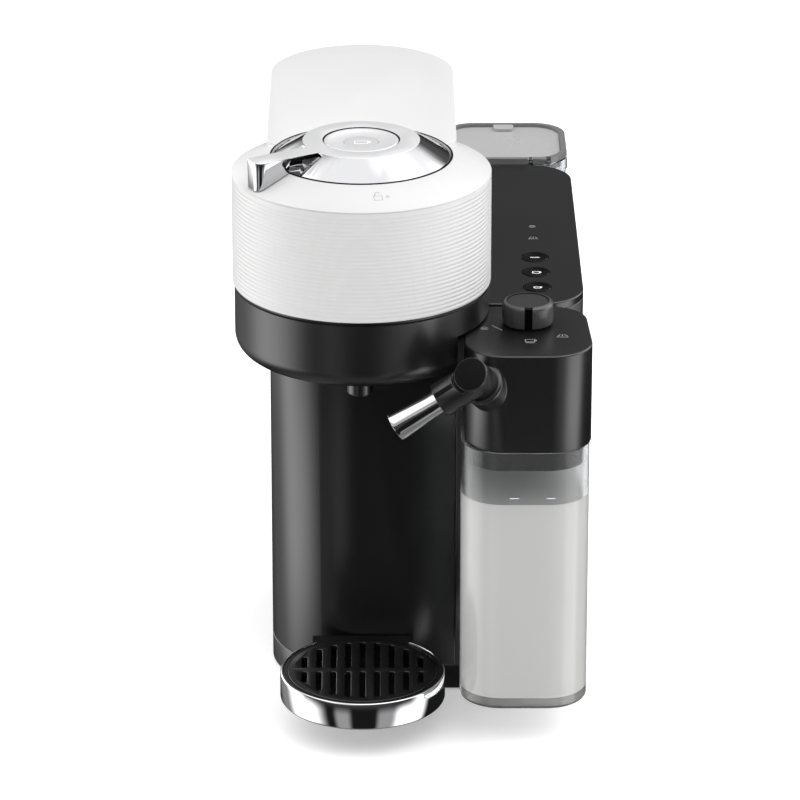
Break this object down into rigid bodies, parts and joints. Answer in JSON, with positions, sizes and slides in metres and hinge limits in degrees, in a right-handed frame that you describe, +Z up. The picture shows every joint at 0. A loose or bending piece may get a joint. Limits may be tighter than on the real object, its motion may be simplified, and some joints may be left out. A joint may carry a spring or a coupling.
{
  "type": "pod coffee machine",
  "caption": "Pod coffee machine: black body, round head with a ribbed white lid and turning lever, milk jug with spout and knob, cup support, water tank and capsule container.",
  "frame": {"origin": "middle of the footprint, on the table", "axes": "+X to the user's right, towards the milk jug and the buttons; +Y to the rear; +Z up"},
  "size_m": [0.1935, 0.4024, 0.3282],
  "materials": {
    "black_plastic": "satin",
    "gloss_black": "gloss",
    "white_plastic": "satin",
    "grey_plastic": "satin",
    "silver_plastic": "satin",
    "chrome": "polished",
    "clear_plastic": "gloss",
    "white_light": "gloss",
    "rubber": "matte",
    "silicone": "matte",
    "steel": "brushed",
    "heater_metal": "cast",
    "inner_plastic": "matte",
    "board_green": "satin",
    "coil_yellow": "matte"
  },
  "bodies": {
    "base": {"base_plate": "black_plastic", "rubber_feet": "rubber", "power_inlet": "rubber", "column_shell": "black_plastic", "side_housing": "black_plastic", "control_panel": "black_plastic", "status_lights": "white_light", "control_board": "board_green", "chassis_frame": "inner_plastic", "head_bowl": "black_plastic", "holder_bearing": "steel", "coffee_collector": "inner_plastic", "coffee_outlet": "black_plastic", "spin_motor": "steel", "drive_belt": "rubber", "neck_deck": "black_plastic", "hinge_pin": "steel", "tank_socket": "inner_plastic", "flow_meter": "inner_plastic", "water_pump": "coil_yellow", "pump_mount": "rubber", "thermoblock": "heater_metal", "heater_stands": "steel", "steam_heater": "heater_metal", "steam_pipe": "steel", "pump_hose": "silicone", "brew_hose": "silicone", "milk_dock": "inner_plastic"},
    "lid": {"top_cover": "white_plastic", "ribbed_band": "white_plastic", "lid_frame": "black_plastic", "clamp_bearing": "steel", "lever_seat": "black_plastic", "button_bellows": "silicone", "lid_hose": "silicone"},
    "lever": {"lever_ring": "chrome"},
    "brew_button": {"brew_button": "silver_plastic", "button_window": "grey_plastic"},
    "clamp": {"clamp_plate": "inner_plastic", "piercing_needle": "steel"},
    "capsule_holder": {"capsule_holder": "inner_plastic"},
    "motor_rotor": {"motor_pulley": "steel"},
    "large_cup_button": {"large_cup_button": "gloss_black"},
    "small_cup_button": {"small_cup_button": "gloss_black"},
    "foam_cup_button": {"foam_cup_button": "gloss_black"},
    "cup_support": {"cup_ring": "chrome", "drip_tray": "black_plastic"},
    "drip_grid": {"drip_grid": "black_plastic"},
    "water_tank": {"water_tank": "clear_plastic", "tank_valve": "inner_plastic"},
    "tank_lid": {"tank_lid": "clear_plastic"},
    "capsule_container": {"capsule_container": "black_plastic"},
    "milk_lid": {"milk_lid": "black_plastic", "lid_seal": "black_plastic", "suction_tube": "silicone"},
    "milk_jug": {"milk_jug": "clear_plastic"},
    "foam_knob": {"foam_knob": "grey_plastic", "knob_cap": "grey_plastic"},
    "milk_spout": {"spout_knuckle": "black_plastic"},
    "spout_tube": {"spout_tube": "chrome"}
  },
  "joints": [
    {"name": "lid_hinge", "type": "hinge", "parent": "base", "child": "lid", "pos_m": [-0.0267, 0.07518, 0.255], "axis": [-1, 0, 0], "range_deg": [0, 40]},
    {"name": "lever_turn", "type": "hinge", "parent": "lid", "child": "lever", "pos_m": [-0.0267, -0.10782, 0.32], "axis": [0, 0, 1], "range_deg": [0, 68]},
    {"name": "brew_button_press", "type": "slide", "parent": "lid", "child": "brew_button", "axis": [0, 0, -1], "range_m": [0, 0.001], "stiffness_N_per_m": 600, "springref_m": -0.001, "deforming": ["button_bellows"]},
    {"name": "clamp_spin", "type": "hinge", "parent": "lid", "child": "clamp", "pos_m": [-0.0267, -0.10782, 0.25], "axis": [0, 0, 1], "continuous": true},
    {"name": "holder_spin", "type": "hinge", "parent": "base", "child": "capsule_holder", "pos_m": [-0.0267, -0.10782, 0.23], "axis": [0, 0, 1], "continuous": true},
    {"name": "motor_spin", "type": "hinge", "parent": "base", "child": "motor_rotor", "pos_m": [-0.0267, -0.00782, 0.226], "axis": [0, 0, 1], "continuous": true},
    {"name": "large_cup_press", "type": "slide", "parent": "base", "child": "large_cup_button", "axis": [0, 0, -1], "range_m": [0, 0.001], "stiffness_N_per_m": 600, "springref_m": -0.001},
    {"name": "small_cup_press", "type": "slide", "parent": "base", "child": "small_cup_button", "axis": [0, 0, -1], "range_m": [0, 0.001], "stiffness_N_per_m": 600, "springref_m": -0.001},
    {"name": "foam_cup_press", "type": "slide", "parent": "base", "child": "foam_cup_button", "axis": [0, 0, -1], "range_m": [0, 0.001], "stiffness_N_per_m": 600, "springref_m": -0.001},
    {"name": "cup_support_slide", "type": "slide", "parent": "base", "child": "cup_support", "axis": [0, -1, 0], "range_m": [0, 0.055]},
    {"name": "drip_grid_lift", "type": "slide", "parent": "cup_support", "child": "drip_grid", "axis": [0, 0, 1], "range_m": [0, 0.03]},
    {"name": "tank_lift", "type": "slide", "parent": "base", "child": "water_tank", "axis": [0, 0, 1], "range_m": [0, 0.22]},
    {"name": "tank_lid_hinge", "type": "hinge", "parent": "water_tank", "child": "tank_lid", "pos_m": [0.0573, 0.13438, 0.234], "axis": [1, 0, 0], "range_deg": [0, 90]},
    {"name": "container_slide", "type": "slide", "parent": "base", "child": "capsule_container", "axis": [0, 1, 0], "range_m": [0, 0.11]},
    {"name": "milk_lid_slide", "type": "slide", "parent": "base", "child": "milk_lid", "axis": [0, -1, 0], "range_m": [0, 0.09]},
    {"name": "milk_jug_slide", "type": "slide", "parent": "milk_lid", "child": "milk_jug", "axis": [0, 0, -1], "range_m": [0, 0.02]},
    {"name": "foam_knob_turn", "type": "hinge", "parent": "milk_lid", "child": "foam_knob", "pos_m": [0.0628, -0.12982, 0.238], "axis": [0, 0, 1], "range_deg": [-60, 60]},
    {"name": "milk_spout_turn", "type": "hinge", "parent": "milk_lid", "child": "milk_spout", "pos_m": [0.034, -0.18782, 0.2216], "axis": [-0.3396, -0.7487, 0.5693], "range_deg": [-10, 45]},
    {"name": "spout_tube_slide", "type": "slide", "parent": "milk_spout", "child": "spout_tube", "axis": [-0.8452, -0.0226, -0.5339], "range_m": [-0.005, 0.008]}
  ],
  "couplings": [
    {"joint": "clamp_spin", "follows": "holder_spin", "ratio": 1},
    {"joint": "motor_spin", "follows": "holder_spin", "ratio": 3.1}
  ]
}
